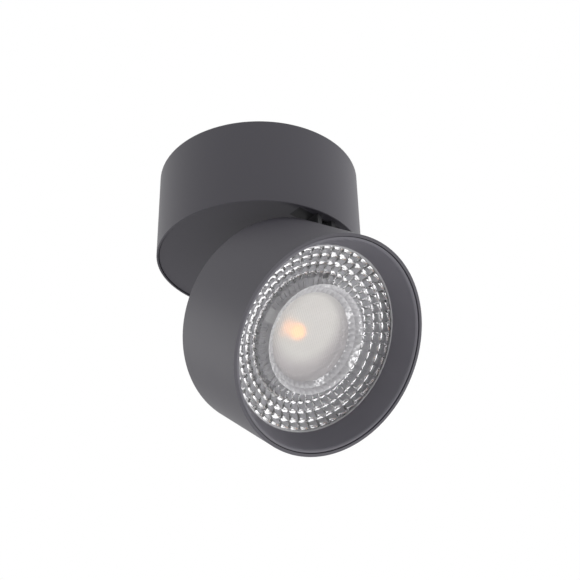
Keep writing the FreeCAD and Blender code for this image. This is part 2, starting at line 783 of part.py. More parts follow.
def hinge_bracket():
    """A plate sunk into the turntable, with two ears that hang down to the hinge pin."""
    body = new_body("hinge_bracket")
    plate = new_sketch(body, "XY", disc_bottom)
    draw_rectangle(plate, -size.bracket_length / 2, size.bracket_length / 2,
                   bracket_middle() - size.bracket_width / 2,
                   bracket_middle() + size.bracket_width / 2)
    pad(body, plate, size.bracket_thickness)
    ears = new_sketch(body, "YZ")
    draw_rectangle(ears, hinge_y - size.ear_radius, hinge_y + size.ear_radius,
                   hinge_level, disc_bottom)
    ear_span = size.ear_gap + size.ear_thickness * 2
    pad(body, ears, ear_span, symmetric=True)
    tips = new_sketch(body, "YZ")
    draw_circle(tips, hinge_y, hinge_level, size.ear_radius)
    pad(body, tips, ear_span, symmetric=True)
    between = new_sketch(body, "YZ")
    reach = size.ear_radius + CUT_OVERRUN
    draw_rectangle(between, hinge_y - reach, hinge_y + reach, hinge_level - reach, disc_bottom)
    pocket(body, between, size.ear_gap, symmetric=True)
    bore = new_sketch(body, "YZ")
    draw_circle(bore, hinge_y, hinge_level, size.pin_diameter / 2 + size.pin_fit)
    pocket(body, bore, ear_span + CUT_OVERRUN, symmetric=True)
    holes = new_sketch(body, "XY", disc_bottom)
    for side in SIDES:
        draw_circle(holes, size.bracket_screw_pitch / 2 * side, bracket_middle(),
                    size.screw_diameter / 2)
    draw_rectangle(holes, -size.channel_width / 2, size.channel_width / 2,
                   bracket_middle() - size.channel_width / 2,
                   bracket_middle() + size.channel_width / 2)
    pocket(body, holes, size.bracket_thickness + CUT_OVERRUN, up=True)
    return body


def bracket_screws():
    one = countersunk_screw(size.screw_diameter.value / 2, size.screw_head_diameter.value / 2,
                            disc_top.value, disc_bottom.value)
    x = size.bracket_screw_pitch.value / 2
    y = bracket_middle().value
    return grouped("bracket_screws", [moved(one, -x, y), moved(one, x, y)])


# ---- head, drawn about its own axis --------------------------------------------------------
def head_housing():
    body = new_body("head_housing")
    seat = front_z + size.seat_depth
    mouth = head_radius - size.rim_wall
    shell = turn(body, [
        (0, 0), (head_radius, 0), (head_radius, front_z), (mouth, front_z), (mouth, seat),
        (inner_radius, seat), (inner_radius, -size.back_thickness), (0, -size.back_thickness),
    ])
    round_edge(body, shell, [(head_radius, ZERO)], size.edge_round)
    post = new_sketch(body, "XY", -size.back_thickness)
    draw_circle(post, 0, size.post_radius, size.post_diameter / 2)
    repeat_round(body, pad(body, post, -size.back_thickness - sink_back, down=True),
                 size.post_count)
    slot = new_sketch(body, "YZ")
    clear = size.ear_radius + size.slot_clearance
    draw_rectangle(slot, -head_radius - CUT_OVERRUN, hinge_y + clear, hinge_z - clear,
                   CUT_OVERRUN)
    pocket(body, slot, lug_inner * 2, symmetric=True)
    threads = new_sketch(body, "XY", -size.back_thickness)
    for side in SIDES:
        draw_circle(threads, size.block_screw_pitch / 2 * side, block_screw_y(),
                    size.screw_diameter / 2)
    pocket(body, threads, size.back_thickness * 2 / 3, up=True)
    taps = new_sketch(body, "XY", sink_back)
    for x, y in around_sizes(size.post_radius, POST_START):
        draw_circle(taps, x, y, size.screw_diameter / 2)
    pocket(body, taps, -size.back_thickness - sink_back, up=True)
    return body


def around_sizes(radius, start):
    """Three places a third of a turn apart, as measures tied to the sheet."""
    angles = [math.radians(start + step) for step in (0, 120, 240)]
    return [(radius * math.cos(angle), radius * math.sin(angle)) for angle in angles]


def block_screw_y():
    return web_start + size.web_length / 2


def hinge_block():
    """The head's half of the hinge: two lugs on a web that is screwed to the back wall."""
    body = new_body("hinge_block")
    web_end = web_start + size.web_length
    web = new_sketch(body, "YZ")
    draw_outline(web, [
        (hinge_y, hinge_z - size.lug_radius), (web_end, web_front),
        (web_end, -size.back_thickness), (web_start, -size.back_thickness),
        (web_start, hinge_z + size.lug_radius), (hinge_y, hinge_z + size.lug_radius),
    ])
    pad(body, web, lug_outer * 2, symmetric=True)
    tips = new_sketch(body, "YZ")
    draw_circle(tips, hinge_y, hinge_z, size.lug_radius)
    pad(body, tips, lug_outer * 2, symmetric=True)
    gap = new_sketch(body, "YZ")
    reach = size.lug_radius + CUT_OVERRUN
    draw_rectangle(gap, hinge_y - reach, web_start, hinge_z - reach, hinge_z + reach)
    pocket(body, gap, lug_inner * 2, symmetric=True)
    bore = new_sketch(body, "YZ")
    draw_circle(bore, hinge_y, hinge_z, size.pin_diameter / 2)
    pocket(body, bore, lug_outer * 2 + CUT_OVERRUN, symmetric=True)
    lead = new_sketch(body, "XZ", -web_end - CUT_OVERRUN)
    draw_circle(lead, 0, hinge_z, size.lead_hole / 2)
    pocket(body, lead, size.web_length + CUT_OVERRUN * 2, up=True)
    holes = new_sketch(body, "XY", web_front)
    for side in SIDES:
        draw_circle(holes, size.block_screw_pitch / 2 * side, block_screw_y(),
                    size.screw_diameter / 2)
    pocket(body, holes, -web_front, up=True)
    return body


def hinge_block_screws():
    one = screw(size.screw_diameter.value / 2, size.screw_head_diameter.value / 2,
                size.screw_head_height.value / 2, web_front.value,
                -size.back_thickness.value / 2)
    x = size.block_screw_pitch.value / 2
    y = block_screw_y().value
    return grouped("hinge_block_screws", [moved(one, -x, y), moved(one, x, y)])


def hinge_pin():
    """A riveted pin through the lugs and ears, with a flat head at each end."""
    body = new_body("hinge_pin")
    shank = new_sketch(body, "YZ")
    draw_circle(shank, hinge_y, hinge_z, size.pin_diameter / 2)
    pad(body, shank, (lug_outer + size.pin_head_thickness) * 2, symmetric=True)
    for offset, down in ((lug_outer, False), (-lug_outer, True)):
        head = new_sketch(body, "YZ", offset)
        draw_circle(head, hinge_y, hinge_z, size.pin_head_diameter / 2)
        pad(body, head, size.pin_head_thickness, down=down)
    return body


def hinge_washers():
    """Friction washers between the ears and the lugs."""
    inner = size.pin_diameter.value / 2
    outer = size.lug_radius.value
    thickness = size.washer_thickness.value
    washers = []
    for start in (-lug_inner.value, lug_inner.value - thickness):
        centre = Vector(start, hinge_y.value, hinge_z.value)
        along = Vector(1, 0, 0)
        disc = Part.makeCylinder(outer, thickness, centre, along)
        washers.append(disc.cut(Part.makeCylinder(inner, thickness, centre, along)))
    return grouped("hinge_washers", washers)


def lead_grommet():
    """A soft sleeve that lines the web's lead hole."""
    body = new_body("lead_grommet")
    sketch = new_sketch(body, "XZ", -web_start)
    draw_circle(sketch, 0, hinge_z, size.lead_hole / 2)
    draw_circle(sketch, 0, hinge_z, size.lead_hole / 2 - size.bush_wall)
    pad(body, sketch, size.web_length, down=True)
    return body


def heat_sink():
    body = new_body("heat_sink")
    outer = inner_radius - size.sink_clearance
    plate = new_sketch(body, "XY", sink_front)
    draw_circle(plate, 0, 0, outer)
    pad(body, plate, size.sink_thickness)
    fin = new_sketch(body, "XY", sink_back - size.fin_root)
    draw_rectangle(fin, size.fin_inner / 2, outer - size.fin_margin,
                   -size.fin_thickness / 2, size.fin_thickness / 2)
    fin_height = -size.back_thickness - size.fin_gap - sink_back
    repeat_round(body, pad(body, fin, fin_height + size.fin_root), size.fin_count)
    clear = new_sketch(body, "XY", sink_back)
    for x, y in around_sizes(size.post_radius, POST_START):
        draw_circle(clear, x, y, size.post_diameter / 2 + size.fin_gap)
    half = lug_outer + size.pin_head_thickness + size.fin_gap
    draw_rectangle(clear, -half, half, -outer - CUT_OVERRUN,
                   web_start + size.web_length + size.fin_gap)
    pocket(body, clear, fin_height + CUT_OVERRUN, up=True)
    holes = new_sketch(body, "XY", sink_front)
    for x, y in around_sizes(size.post_radius, POST_START):
        draw_circle(holes, x, y, size.screw_diameter / 2)
    draw_circle(holes, 0, web_start + size.web_length + size.lead_hole, size.lead_hole / 2)
    pocket(body, holes, size.sink_thickness + fin_height + CUT_OVERRUN, up=True)
    return body


def heat_sink_screws():
    one = screw(size.screw_diameter.value / 2, size.screw_head_diameter.value / 2,
                size.screw_head_height.value, sink_front.value,
                (-size.back_thickness - size.tap_end).value)
    places = around(size.post_radius.value, size.post_count.value, POST_START)
    return grouped("heat_sink_screws", [moved(one, x, y) for x, y in places])


def thermal_pad():
    half = size.pad_side / 2
    return block("thermal_pad", -half, half, -half, half, sink_front - size.pad_thickness,
                 sink_front)


def led_board():
    half = size.board_side / 2
    return block("led_board", -half, half, -half, half, board_front,
                 board_front + size.board_thickness)


def led_emitter():
    body = new_body("led_emitter")
    sketch = new_sketch(body, "XY", board_front - size.emitter_thickness)
    draw_circle(sketch, 0, 0, size.emitter_diameter / 2)
    pad(body, sketch, size.emitter_thickness)
    return body


def led_holder():
    """The dark funnel that clamps the board and carries the lens, with teeth round its edge."""
    body = new_body("led_holder")
    outer = size.holder_diameter / 2
    bore = size.holder_bore / 2
    turn(body, [
        (size.holder_mouth / 2, lens_back), (outer, lens_back), (outer, sink_front),
        (bore, sink_front), (bore, board_front - size.emitter_thickness),
    ])
    tooth = new_sketch(body, "XY", lens_back)
    draw_rectangle(tooth, outer - size.tooth_length, outer + CUT_OVERRUN,
                   -size.tooth_width / 2, size.tooth_width / 2)
    repeat_round(body, pocket(body, tooth, size.tooth_depth, up=True), size.tooth_count)
    under = new_sketch(body, "XY", sink_front)
    half = size.pad_side / 2 + size.pad_play
    draw_rectangle(under, -half, half, -half, half)
    pocket(body, under, sink_front - board_front)
    key = new_sketch(body, "XY", lens_back)
    draw_rectangle(key, *key_sides)
    pocket(body, key, size.key_thickness, up=True)
    holes = new_sketch(body, "XY", lens_back)
    for side in SIDES:
        draw_circle(holes, 0, size.holder_screw_pitch / 2 * side, size.small_screw_diameter / 2)
    pocket(body, holes, sink_front - lens_back + CUT_OVERRUN, up=True)
    return body


def holder_screws():
    radius = size.small_screw_diameter.value / 2
    one = Part.makeCylinder(radius, (sink_front - lens_back).value, Vector(0, 0, lens_back.value))
    y = size.holder_screw_pitch.value / 2
    return grouped("holder_screws", [moved(one, 0, -y), moved(one, 0, y)])


def locating_key():
    """The pale tab that keeps the lens from turning on its holder."""
    return block("locating_key", *key_sides, lens_back, lens_back + size.key_thickness)


# ---- optics -------------------------------------------------------------------------------
def facet_polygon(row):
    """One of the many sided rings between two rows of facets.

    The cone bows outward between its two ends, so each row leans at its own angle.
    """
    polygon = doc.addObject("Part::RegularPolygon", f"facet_ring_{row}")
    along = as_size(row) / size.row_count
    bow = along * (as_size(1) - along) * 4
    straight_radius = cone_top_radius - (cone_top_radius - cone_bottom_radius) * along
    straight_level = lens_front + size.flange_thickness + size.row_height * row
    tie(polygon, "Polygon", size.facet_count)
    tie(polygon, "Circumradius", straight_radius + size.cone_bow_out * bow)
    tie(polygon, ".Placement.Base.z", straight_level + size.cone_bow_back * bow)
    return polygon


def solid_of(kind, name, level, **measures):
    solid = doc.addObject(kind, name)
    for prop, measure in measures.items():
        tie(solid, prop, measure)
    tie(solid, ".Placement.Base.z", level)
    return solid


def lens():
    """A clear lens: a flange, and a cone of flat facets in rows, hollow in the middle.

    The window between the two hollows is flat in front and bulges towards the light source.
    """
    cone = doc.addObject("Part::Loft", "lens_facets")
    cone.Sections = [facet_polygon(row) for row in range(int(size.row_count.value) + 1)]
    cone.Solid = True
    cone.Ruled = True
    flange = solid_of("Part::Cylinder", "lens_flange", lens_front,
                      Radius=size.flange_diameter / 2, Height=size.flange_thickness)
    whole = doc.addObject("Part::MultiFuse", "lens_whole")
    whole.Shapes = [cone, flange]
    well = solid_of("Part::Cone", "lens_well", lens_front,
                    Radius1=size.well_top_diameter / 2, Radius2=size.well_diameter / 2,
                    Height=size.well_depth)
    roof = lens_front + size.well_depth + size.window_thickness
    rim = size.cavity_top_diameter / 2
    cone_hollow = solid_of("Part::Cone", "lens_cavity", roof, Radius1=rim,
                           Radius2=size.cavity_diameter / 2, Height=lens_back - roof)
    bulge_radius = (rim * rim + size.bulge_rise * size.bulge_rise) / (size.bulge_rise * 2)
    bulge = solid_of("Part::Sphere", "lens_bulge", roof + size.bulge_rise - bulge_radius,
                     Radius=bulge_radius)
    cavity = doc.addObject("Part::Cut", "lens_domed_cavity")
    cavity.Base = cone_hollow
    cavity.Tool = bulge
    hollows = doc.addObject("Part::MultiFuse", "lens_hollows")
    hollows.Shapes = [well, cavity]
    piece = doc.addObject("Part::Cut", "lens")
    piece.Label = "lens"
    piece.Base = whole
    piece.Tool = hollows
    return piece


def baffle():
    """The dark ring in front of the lens, drawn in towards it like a shallow funnel."""
    body = new_body("baffle")
    outer = head_radius - size.rim_wall - size.baffle_gap
    seat = front_z + size.seat_depth
    nose = front_z + size.baffle_nose
    flange = size.flange_diameter / 2 + size.flange_play
    opening = size.flange_diameter / 2 - size.flange_overlap
    mouth = outer - size.baffle_rim - size.baffle_nose
    turn(body, [
        (outer - size.baffle_rim, nose), (outer, nose), (outer, seat), (flange, seat),
        (flange, lens_front), (opening, lens_front), (opening, lens_front - size.baffle_lip),
        (mouth, nose + size.baffle_nose),
    ])
    threads = new_sketch(body, "XY", seat)
    for x, y in around_sizes(size.ring_screw_radius, POST_START):
        draw_circle(threads, x, y, size.ring_screw_diameter / 2)
    pocket(body, threads, size.seat_depth / 3)
    return body


def lens_ring():
    """The ring behind the lens flange that holds the lens in the baffle."""
    body = new_body("lens_ring")
    seat = front_z + size.seat_depth
    inner = cone_top_radius + size.ring_play
    outer = inner_radius - size.ring_inset
    turn(body, [
        (inner, seat), (outer, seat), (outer, seat + size.ring_thickness),
        (inner, seat + size.ring_thickness),
    ])
    holes = new_sketch(body, "XY", seat)
    for x, y in around_sizes(size.ring_screw_radius, POST_START):
        draw_circle(holes, x, y, size.ring_screw_diameter / 2)
    pocket(body, holes, size.ring_thickness + CUT_OVERRUN, up=True)
    return body


def ring_screws():
    seat = (front_z + size.seat_depth).value
    top = seat + size.ring_thickness.value
    tip = seat - size.seat_depth.value / 3
    radius = size.ring_screw_diameter.value / 2
    one = Part.makeCylinder(radius, top - tip, Vector(0, 0, tip))
    places = around(size.ring_screw_radius.value, size.post_count.value, POST_START)
    return grouped("ring_screws", [moved(one, x, y) for x, y in places])


# ---- the whole object ----------------------------------------------------------------------
BASE_PIECES = [
    mounting_plate, cable_grommet, base_housing, lock_screw, glide_ring, driver_case,
    driver_lid, driver_board, driver_transformer, driver_capacitors, driver_screws,
    terminal_block, terminal_screws, terminal_fixing_screw, earth_screw,
]
TURNTABLE_PIECES = [
    turntable, pivot_tube, pivot_bush, wave_washer, pivot_nut, stop_pin,
    hinge_bracket, bracket_screws,
]
HEAD_PIECES = [
    head_housing, hinge_block, hinge_block_screws, hinge_pin, hinge_washers, lead_grommet,
    heat_sink, heat_sink_screws, thermal_pad, led_board, led_emitter, led_holder,
    holder_screws, locating_key, lens, baffle, lens_ring, ring_screws,
]

pieces = [make() for make in BASE_PIECES + TURNTABLE_PIECES]
head = [make() for make in HEAD_PIECES]
doc.recompute()
for piece in head:
    piece.Placement = REST
doc.recompute()

failed = [item.Label for item in doc.Objects if {"Invalid", "Error"} & set(item.State)]
for piece in pieces + head:
    if piece.Shape.isNull() or not piece.Shape.isValid():
        failed.append(piece.Label)
if failed:
    raise RuntimeError(f"these did not build: {sorted(set(failed))}")

for piece in pieces + head:
    piece.Shape.exportStep(f"parts/{piece.Label}.step")
    print(f"{piece.Label}: {len(piece.Shape.Solids)} solid, {piece.Shape.Volume:.1f} mm3")
print(f"{len(pieces + head)} sub-parts written")
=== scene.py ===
# %% [markdown]
# # A surface mounted ceiling spotlight
# A short round base is screwed to the ceiling. A disc in its underside turns, and a round
# lamp head is hinged to the rim of that disc. The solid pieces come from the CAD model.
# This lesson gives each of them its finish, makes the clear lens again with fine facets,
# and sets up the camera and light of a plain product photograph.

import json
import math

import bmesh
import bpy
from mathutils import Matrix, Vector


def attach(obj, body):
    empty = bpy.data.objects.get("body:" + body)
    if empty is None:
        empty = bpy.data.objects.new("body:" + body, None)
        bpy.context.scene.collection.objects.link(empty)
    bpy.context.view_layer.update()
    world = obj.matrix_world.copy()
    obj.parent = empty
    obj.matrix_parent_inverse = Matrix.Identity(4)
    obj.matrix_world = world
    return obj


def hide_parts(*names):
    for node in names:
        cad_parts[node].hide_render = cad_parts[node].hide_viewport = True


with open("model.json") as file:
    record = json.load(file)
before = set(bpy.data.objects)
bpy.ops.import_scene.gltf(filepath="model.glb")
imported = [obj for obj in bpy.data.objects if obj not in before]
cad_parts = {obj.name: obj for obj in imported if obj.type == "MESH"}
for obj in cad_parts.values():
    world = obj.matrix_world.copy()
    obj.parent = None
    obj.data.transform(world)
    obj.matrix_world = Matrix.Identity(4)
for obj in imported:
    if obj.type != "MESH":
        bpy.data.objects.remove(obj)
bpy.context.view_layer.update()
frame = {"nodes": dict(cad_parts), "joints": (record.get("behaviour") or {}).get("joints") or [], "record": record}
nodes = frame["nodes"]

# %% [markdown]
# ## The camera
# The photograph looks up at the light from the side. The camera's place and its three
# directions were found by matching the outlines of the base and head, so they are written
# as plain numbers: where it stands, which way is right, and which way is up.

# %% Camera
MM = 0.001
CAMERA_PLACE = Vector((-268.4, -307.6, -306.3)) * MM
CAMERA_RIGHT = Vector((0.73891, -0.67340, -0.02334))
CAMERA_UP = Vector((-0.33028, -0.39217, 0.85855))
FOCAL_LENGTH = 61.45


def make_camera():
    data = bpy.data.cameras.new("photo_camera")
    data.lens = FOCAL_LENGTH
    data.clip_start = 1 * MM
    camera = bpy.data.objects.new("photo_camera", data)
    bpy.context.scene.collection.objects.link(camera)
    right = CAMERA_RIGHT.normalized()
    back = right.cross(CAMERA_UP).normalized()
    up = back.cross(right)
    turned = Matrix((right, up, back)).transposed().to_4x4()
    camera.matrix_world = Matrix.Translation(CAMERA_PLACE) @ turned
    bpy.context.scene.camera = camera
    return camera


camera = make_camera()
print("camera looks up at", round(math.degrees(math.asin(-camera.matrix_world[2][2])), 1), "degrees")

# %% [markdown]
# ## Small helpers for node trees
# Shader trees and geometry trees are built the same way: add a node, feed its sockets with
# numbers or with other sockets. These helpers keep the cells below short.


# %% Node helpers
def add_node(tree, kind, **settings):
    node = tree.nodes.new(kind)
    for name, value in settings.items():
        setattr(node, name, value)
    return node


def feed(tree, socket, value):
    """Set a socket to a plain value, or link another socket to it."""
    if isinstance(value, bpy.types.NodeSocket):
        tree.links.new(value, socket)
    else:
        socket.default_value = value


def calc(tree, operation, first, second=None):
    node = add_node(tree, "ShaderNodeMath", operation=operation)
    feed(tree, node.inputs[0], first)
    if second is not None:
        feed(tree, node.inputs[1], second)
    return node.outputs[0]


def add_socket(tree, name, kind, default=None, output=False):
    where = "OUTPUT" if output else "INPUT"
    socket = tree.interface.new_socket(name=name, in_out=where, socket_type=f"NodeSocket{kind}")
    if default is not None:
        socket.default_value = default


print("node helpers are ready")

# %% [markdown]
# Two kinds of change are used again and again: a mix of two colours or two numbers, and a
# smooth step, which goes from one number to another while its input passes a range. The mix
# node has sockets of the same name for numbers, vectors and colours, so they are found here
# by their place in the list.


# %% Mixing helpers
def mix_colour(tree, factor, first, second):
    node = add_node(tree, "ShaderNodeMix", data_type="RGBA")
    feed(tree, node.inputs["Factor"], factor)
    feed(tree, node.inputs[6], first)
    feed(tree, node.inputs[7], second)
    return node.outputs[2]


def mix_number(tree, factor, first, second):
    node = add_node(tree, "ShaderNodeMix", data_type="FLOAT")
    feed(tree, node.inputs[0], factor)
    feed(tree, node.inputs[2], first)
    feed(tree, node.inputs[3], second)
    return node.outputs[0]


def smooth_step(tree, value, start, end, before, after):
    node = add_node(tree, "ShaderNodeMapRange", interpolation_type="SMOOTHSTEP")
    feed(tree, node.inputs["Value"], value)
    feed(tree, node.inputs["From Min"], start)
    feed(tree, node.inputs["From Max"], end)
    feed(tree, node.inputs["To Min"], before)
    feed(tree, node.inputs["To Max"], after)
    return node.outputs[0]


print("mixing helpers are ready")

# %% [markdown]
# ## Where the head is
# The head is hinged at the rim of the turning disc and leans by the photographed tilt. Its
# pieces are easiest to make about the head's own axis and then moved into place. That move
# is a turn about the hinge line, which the frame's joint gives.

# %% Head placement
hinge = next(joint for joint in frame["joints"] if joint["name"] == "tilt")
TILT = math.radians(-min(hinge["range_deg"]))
HINGE_POINT = Vector(hinge["pos_m"])
HINGE_LEVEL = -6.5
HINGE_IN_HEAD = Vector((0, HINGE_POINT.y, HINGE_LEVEL * MM))
HEAD_PLACE = (
    Matrix.Translation(HINGE_POINT)
    @ Matrix.Rotation(-TILT, 4, "X")
    @ Matrix.Translation(-HINGE_IN_HEAD)
)
print("head leans", round(math.degrees(TILT), 1), "degrees")

# %% [markdown]
# ## A shared finish: fine grain
# Paint, plastic and metal all vary a little over their surface. A picture of each finish
# would need every piece laid out flat. One node group of noise needs no layout and serves
# every material. It takes a colour, a size of grain, a strength of tone and a roughness, and
# gives back the varied colour, the varied roughness and a height for the bump.

# %% Grain group
FINE_DETAIL = 2.0
BROAD_DETAIL = 3.0
BROAD_TO_FINE = 30.0
FINE_SHARE = 0.6
ROUGHNESS_SWING = 0.5


def add_noise(tree, place, frequency, detail):
    texture = add_node(tree, "ShaderNodeTexNoise")
    feed(tree, texture.inputs["Vector"], place)
    feed(tree, texture.inputs["Scale"], frequency)
    feed(tree, texture.inputs["Detail"], detail)
    return texture.outputs[0]


def make_grain_group():
    group = bpy.data.node_groups.new("fine_grain", "ShaderNodeTree")
    add_socket(group, "Colour", "Color", (0.5, 0.5, 0.5, 1))
    add_socket(group, "Grain Size", "Float", 1.0)
    add_socket(group, "Tone", "Float", 0.1)
    add_socket(group, "Roughness", "Float", 0.5)
    add_socket(group, "Colour", "Color", output=True)
    add_socket(group, "Roughness", "Float", output=True)
    add_socket(group, "Height", "Float", output=True)
    inputs = add_node(group, "NodeGroupInput").outputs
    outputs = add_node(group, "NodeGroupOutput").inputs
    place = add_node(group, "ShaderNodeTexCoord").outputs["Object"]
    frequency = calc(group, "DIVIDE", 1 / MM, inputs["Grain Size"])
    fine = add_noise(group, place, frequency, FINE_DETAIL)
    broad = add_noise(group, place, calc(group, "DIVIDE", frequency, BROAD_TO_FINE), BROAD_DETAIL)
    blend = calc(group, "ADD", calc(group, "MULTIPLY", fine, FINE_SHARE),
                 calc(group, "MULTIPLY", broad, 1 - FINE_SHARE))
    swing = calc(group, "MULTIPLY", calc(group, "SUBTRACT", blend, 0.5),
                 calc(group, "MULTIPLY", inputs["Tone"], 2.0))
    toned = add_node(group, "ShaderNodeVectorMath", operation="SCALE")
    feed(group, toned.inputs[0], inputs["Colour"])
    feed(group, toned.inputs["Scale"], calc(group, "ADD", swing, 1.0))
    feed(group, outputs["Colour"], toned.outputs[0])
    rough_swing = calc(group, "MULTIPLY", swing, ROUGHNESS_SWING)
    feed(group, outputs["Roughness"], calc(group, "ADD", inputs["Roughness"], rough_swing))
    feed(group, outputs["Height"], fine)
    return group


grain_group = make_grain_group()
print("made the node group", grain_group.name)

# %% [markdown]
# ## Materials for the CAD pieces
# Each piece's record names a material slot. Most finishes differ only in colour, sheen and
# grain, so one function makes them all. Colours are linear light values, and grain and bump
# are in millimetres.


# %% How a plain finish is made
def new_material(name):
    material = bpy.data.materials.new(name)
    material.use_nodes = True
    tree = material.node_tree
    tree.nodes.clear()
    surface = add_node(tree, "ShaderNodeBsdfPrincipled")
    out = add_node(tree, "ShaderNodeOutputMaterial")
    tree.links.new(surface.outputs[0], out.inputs["Surface"])
    return material, tree, surface


def add_grain(tree, surface, colour, roughness, grain, tone):
    """Vary a surface's colour and roughness with the grain group, and give back its height."""
    grained = add_node(tree, "ShaderNodeGroup", node_tree=grain_group)
    feed(tree, grained.inputs["Colour"], (*colour, 1))
    feed(tree, grained.inputs["Grain Size"], grain)
    feed(tree, grained.inputs["Tone"], tone)
    feed(tree, grained.inputs["Roughness"], roughness)
    feed(tree, surface.inputs["Base Color"], grained.outputs["Colour"])
    feed(tree, surface.inputs["Roughness"], grained.outputs["Roughness"])
    return grained.outputs["Height"]


def add_bump(tree, surface, height, rise):
    raised = add_node(tree, "ShaderNodeBump")
    raised.inputs["Strength"].default_value = 1.0
    raised.inputs["Distance"].default_value = rise * MM
    feed(tree, raised.inputs["Height"], height)
    feed(tree, surface.inputs["Normal"], raised.outputs[0])


def finish(name, colour, roughness, grain=0.6, tone=0.1, bump=0.02, metallic=0.0):
    """A material of one colour, varied by the grain group."""
    material, tree, surface = new_material(name)
    height = add_grain(tree, surface, colour, roughness, grain, tone)
    add_bump(tree, surface, height, bump)
    surface.inputs["Metallic"].default_value = metallic
    return material


print("a plain finish takes a colour, a roughness and a grain")

# %% [markdown]
# The base and head have a matt graphite paint with a slight violet tint, and the funnel
# ring in front of the lens is painted lighter. The others are plain metals, plastics and
# boards, most of which show only when the lamp is taken apart. A table holds them all, so
# that two finishes are easy to compare.

# %% Plain finishes
FINISHES = {
    "graphite_paint": dict(colour=(0.051, 0.0480, 0.0600), roughness=0.50, grain=0.35,
                           tone=0.08, bump=0.012),
    "baffle_paint": dict(colour=(0.112, 0.108, 0.126), roughness=0.55, grain=0.3, bump=0.01),
    "steel": dict(colour=(0.55, 0.55, 0.56), roughness=0.38, grain=0.5, metallic=1.0),
    "dark_steel": dict(colour=(0.022, 0.022, 0.025), roughness=0.6, grain=0.4, metallic=0.2),
    "brass": dict(colour=(0.62, 0.45, 0.18), roughness=0.35, grain=0.5, metallic=1.0),
    "raw_aluminium": dict(colour=(0.55, 0.54, 0.57), roughness=0.45, grain=0.5, metallic=0.3),
    "rubber": dict(colour=(0.02, 0.02, 0.02), roughness=0.75, grain=0.8),
    "white_plastic": dict(colour=(0.72, 0.72, 0.70), roughness=0.45, grain=1.0, tone=0.04),
    "black_plastic": dict(colour=(0.03, 0.03, 0.032), roughness=0.5, grain=0.5),
    "holder_plastic": dict(colour=(0.50, 0.49, 0.51), roughness=0.5, grain=0.5),
    "grey_plastic": dict(colour=(0.60, 0.60, 0.60), roughness=0.5, grain=0.5),
    "circuit_board": dict(colour=(0.02, 0.16, 0.06), roughness=0.4, grain=1.5, tone=0.2),
    "ceramic_board": dict(colour=(0.78, 0.78, 0.76), roughness=0.5, grain=1.0, tone=0.04),
    "can_film": dict(colour=(0.03, 0.035, 0.06), roughness=0.3, grain=2.0),
    "phosphor": dict(colour=(0.90, 0.48, 0.12), roughness=0.6, grain=0.4),
    "clear_plastic": dict(colour=(0.9, 0.9, 0.9), roughness=0.1),
}
finishes = {name: finish(name, **values) for name, values in FINISHES.items()}
print(len(finishes), "finishes made")

# %% [markdown]
# ### Finishes that change across one piece
# Some pieces need two colours. Cutting the mesh in two would change the CAD piece, so the
# material itself changes with the distance from the head's own axis. A mapping node turns
# the object's coordinates into the head's, which makes that distance easy to work out.


# %% Head coordinates
def head_coordinates(tree):
    """The place of a point seen from the head, in millimetres: across, along and up."""
    inverse = HEAD_PLACE.inverted()
    mapping = add_node(tree, "ShaderNodeMapping")
    feed(tree, mapping.inputs["Vector"], add_node(tree, "ShaderNodeTexCoord").outputs["Object"])
    mapping.inputs["Rotation"].default_value = inverse.to_euler()
    mapping.inputs["Location"].default_value = inverse.translation / MM
    mapping.inputs["Scale"].default_value = (1 / MM,) * 3
    parts = add_node(tree, "ShaderNodeSeparateXYZ")
    feed(tree, parts.inputs[0], mapping.outputs[0])
    return parts.outputs[0], parts.outputs[1], parts.outputs[2]


def distance_from(tree, across, along, centre=(0.0, 0.0)):
    """Distance from a line that runs parallel to the head's axis, in millimetres."""
    squares = []
    for place, middle in ((across, centre[0]), (along, centre[1])):
        away = calc(tree, "SUBTRACT", place, middle)
        squares.append(calc(tree, "MULTIPLY", away, away))
    return calc(tree, "SQRT", calc(tree, "ADD", squares[0], squares[1]))


print("head coordinates are ready")

# %% [markdown]
# The photograph shows the paint on the cup of the head, but not the cup's inside. White was
# chosen for the inside, because it gives the facets the photograph's pale greys. The funnel
# that clamps the lamp's board is mid grey, as its teeth look through the lens, and its
# mouth was chosen white too. The fork's two screws are as dark as the fork.

# %% Coated pieces
INSIDE_OF_CUP = 47.3
BACK_OF_CUP = -2.9
CUP_WHITE = (0.90, 0.89, 0.92)
CUP_ROUGHNESS = 0.5
FUNNEL_MOUTH = 18.2
FUNNEL_WHITE = (0.85, 0.85, 0.84)
FUNNEL_ROUGHNESS = 0.4


def coat_middle(name, radius, level, colour, roughness):
    """A copy of a finish with another colour inside a radius and below a level of the head."""
    material = finishes[name].copy()
    material.name = name + "_with_white_middle"
    tree = material.node_tree
    surface = tree.nodes["Principled BSDF"]
    outer = surface.inputs["Base Color"].links[0].from_socket
    rough = surface.inputs["Roughness"].links[0].from_socket
    across, along, up = head_coordinates(tree)
    near = calc(tree, "LESS_THAN", distance_from(tree, across, along), radius)
    within = calc(tree, "MULTIPLY", near, calc(tree, "LESS_THAN", up, level))
    feed(tree, surface.inputs["Base Color"], mix_colour(tree, within, outer, (*colour, 1)))
    feed(tree, surface.inputs["Roughness"], mix_number(tree, within, rough, roughness))
    return material


coated = {
    "head_housing": coat_middle("graphite_paint", INSIDE_OF_CUP, BACK_OF_CUP,
                                CUP_WHITE, CUP_ROUGHNESS),
    "led_holder": coat_middle("holder_plastic", FUNNEL_MOUTH, BACK_OF_CUP,
                              FUNNEL_WHITE, FUNNEL_ROUGHNESS),
    "bracket_screws": finishes["dark_steel"],
}
print("pieces with a finish of their own:", ", ".join(coated))

# %% [markdown]
# ### The lamp's amber glow
# The lamp is a small disc under yellow phosphor, and in the photograph it glows amber
# through the window. A separate small light could stand there, but it would also light the
# rest of the head. So the material gives off a little light itself: most in its middle, and
# none beyond the glow's edge, where it is a pale colour instead.

